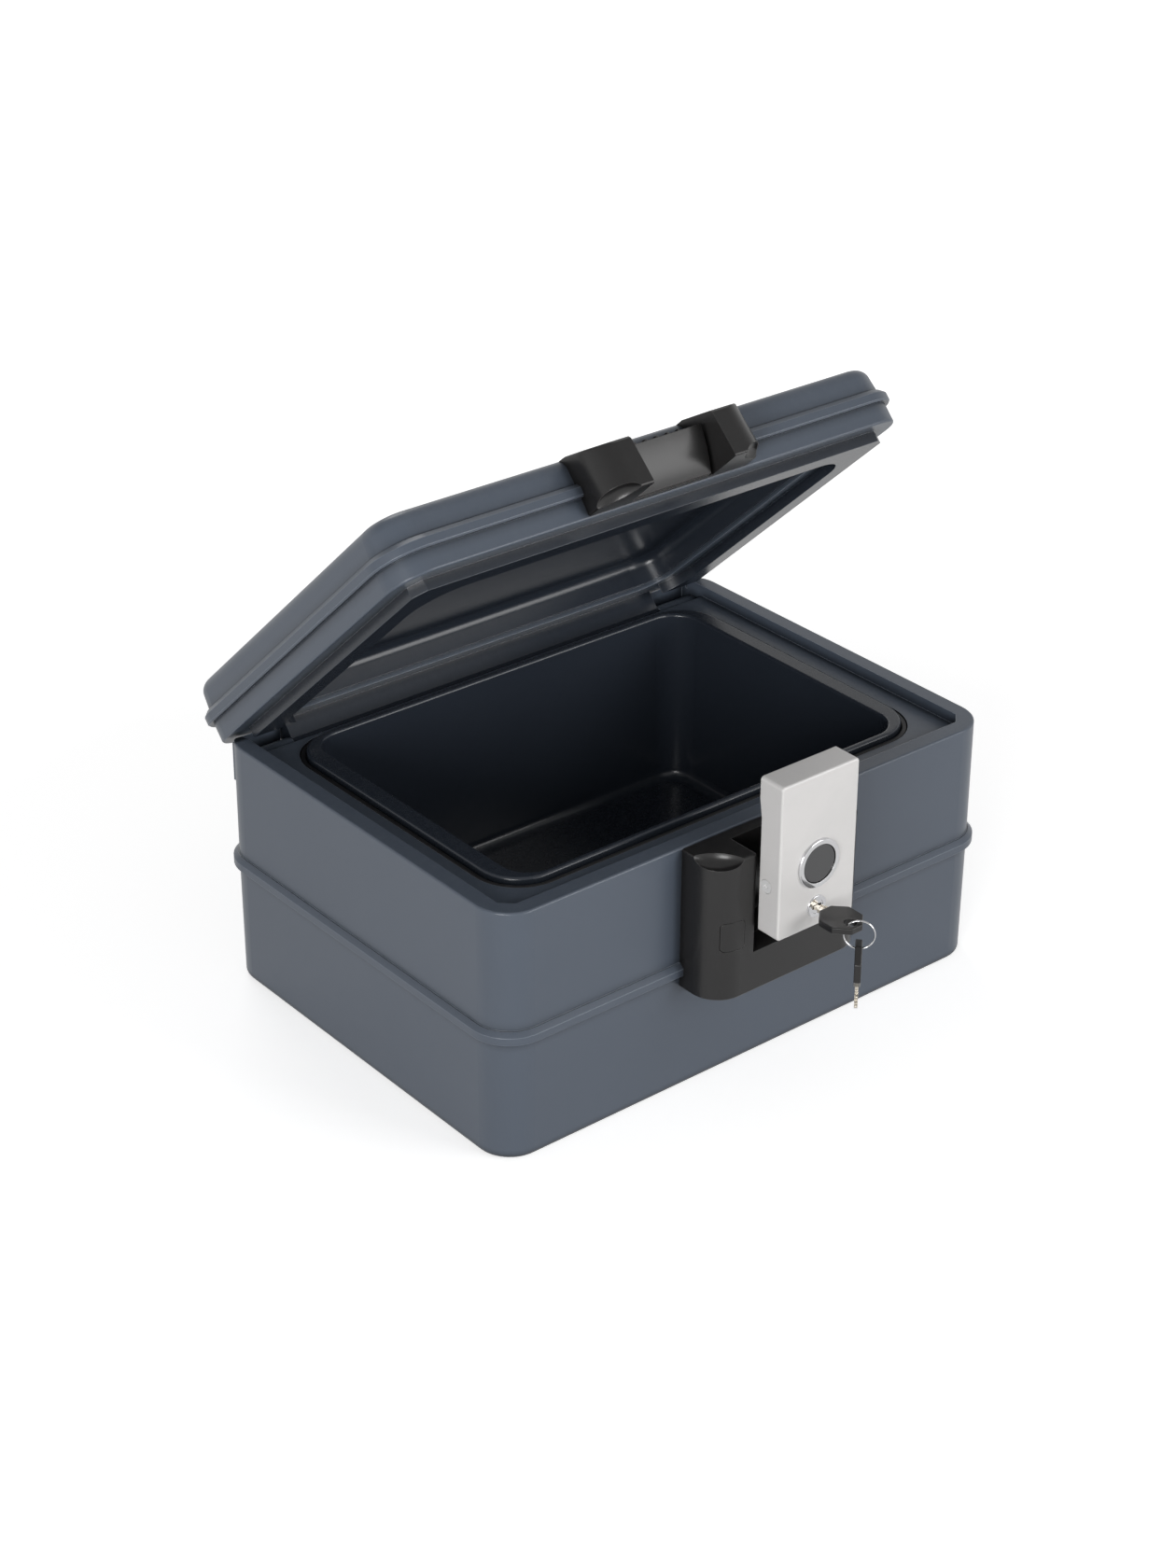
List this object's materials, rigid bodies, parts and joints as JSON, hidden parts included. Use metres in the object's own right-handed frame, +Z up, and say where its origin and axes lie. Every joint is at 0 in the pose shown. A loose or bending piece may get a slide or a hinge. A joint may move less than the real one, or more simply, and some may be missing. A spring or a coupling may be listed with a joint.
{
  "type": "fireproof chest",
  "caption": "Portable fireproof document chest with an insulated tub, a hinged insulated lid and a front latch lever that carries a push sensor, a key lock and its keys.",
  "frame": {"origin": "middle of the chest's underside, where it rests", "axes": "+X to the right seen from the front, +Y to the back, +Z up"},
  "size_m": [0.42, 0.4348, 0.4131],
  "materials": {
    "shell_grey": "fine satin moulded plastic, blue grey",
    "liner_dark": "satin moulded plastic, dark slate",
    "fire_filling": "rough cast mineral filling",
    "gasket_rubber": "soft black rubber",
    "pin_steel": "zinc plated steel",
    "latch_black": "fine satin black plastic",
    "lever_silver": "satin silver paint",
    "bright_chrome": "polished chrome",
    "button_black": "polished black",
    "board_green": "solder mask",
    "switch_black": "plain",
    "cell_sleeve": "printed sleeve left plain",
    "motor_metal": "nickel plated can",
    "key_nickel": "nickel silver, milled",
    "bow_black": "satin black plastic"
  },
  "bodies": {
    "base": {"base_lower_shell": "shell_grey", "base_upper_shell": "shell_grey", "base_liner": "liner_dark", "base_insulation": "fire_filling", "base_gasket": "gasket_rubber", "hinge_pins": "pin_steel", "latch_bracket": "latch_black", "screw_cap_left": "latch_black", "screw_cap_right": "latch_black", "bracket_screws": "pin_steel", "latch_pin": "pin_steel", "latch_spring": "pin_steel"},
    "lid": {"lid_top_shell": "shell_grey", "lid_lower_shell": "shell_grey", "lid_liner": "liner_dark", "lid_insulation": "fire_filling", "lid_catch": "latch_black", "catch_screws": "pin_steel"},
    "lever": {"latch_cover": "lever_silver", "latch_chassis": "latch_black", "latch_side_screws": "pin_steel", "sensor_ring": "bright_chrome", "circuit_board": "board_green", "button_switch": "switch_black", "board_screws": "pin_steel", "battery_holder": "latch_black", "battery_cells": "cell_sleeve", "gear_motor": "motor_metal", "lock_cylinder": "bright_chrome", "lock_nut": "bright_chrome"},
    "button": {"sensor_button": "button_black"},
    "lock": {"lock_plug": "bright_chrome", "lock_cam": "bright_chrome"},
    "bolt": {"latch_bolt": "pin_steel"},
    "key": {"key_blade": "key_nickel", "key_bow": "bow_black"},
    "ring": {"key_ring": "bright_chrome"},
    "spare_key": {"spare_key_blade": "key_nickel", "spare_key_bow": "bow_black"}
  },
  "joints": [
    {"name": "lid_hinge", "type": "hinge", "parent": "base", "child": "lid", "pos_m": [0, 0.1355, 0.157], "axis": [-1, 0, 0], "range_deg": [-43, 49]},
    {"name": "lever_pivot", "type": "hinge", "parent": "base", "child": "lever", "pos_m": [0, -0.172, 0.118], "axis": [1, 0, 0], "range_deg": [-8.5, 0], "stiffness_Nm_per_rad": 0.2, "springref_deg": 20.05},
    {"name": "button_press", "type": "slide", "parent": "lever", "child": "button", "axis": [0, 1, 0], "range_m": [0, 0.001], "stiffness_N_per_m": 300},
    {"name": "lock_turn", "type": "hinge", "parent": "lever", "child": "lock", "pos_m": [0, -0.2, 0.137], "axis": [0, 1, 0], "range_deg": [0, 90]},
    {"name": "bolt_slide", "type": "slide", "parent": "lever", "child": "bolt", "axis": [0, 0, 1], "range_m": [0, 0.004]},
    {"name": "key_draw", "type": "slide", "parent": "lock", "child": "key", "axis": [0, -1, 0], "range_m": [0, 0.012]},
    {"name": "ring_swing", "type": "hinge", "parent": "key", "child": "ring", "pos_m": [0.00424, -0.23924, 0.1398], "axis": [0.7071, -0.7071, 0], "range_deg": [-12, 12]},
    {"name": "spare_swing", "type": "hinge", "parent": "ring", "child": "spare_key", "pos_m": [0.00424, -0.23924, 0.1213], "axis": [0.7071, -0.7071, 0], "range_deg": [-20, 20]}
  ],
  "couplings": [
    {"joint": "lock_turn", "follows": "bolt_slide", "rad_per_m": 392.69}
  ]
}
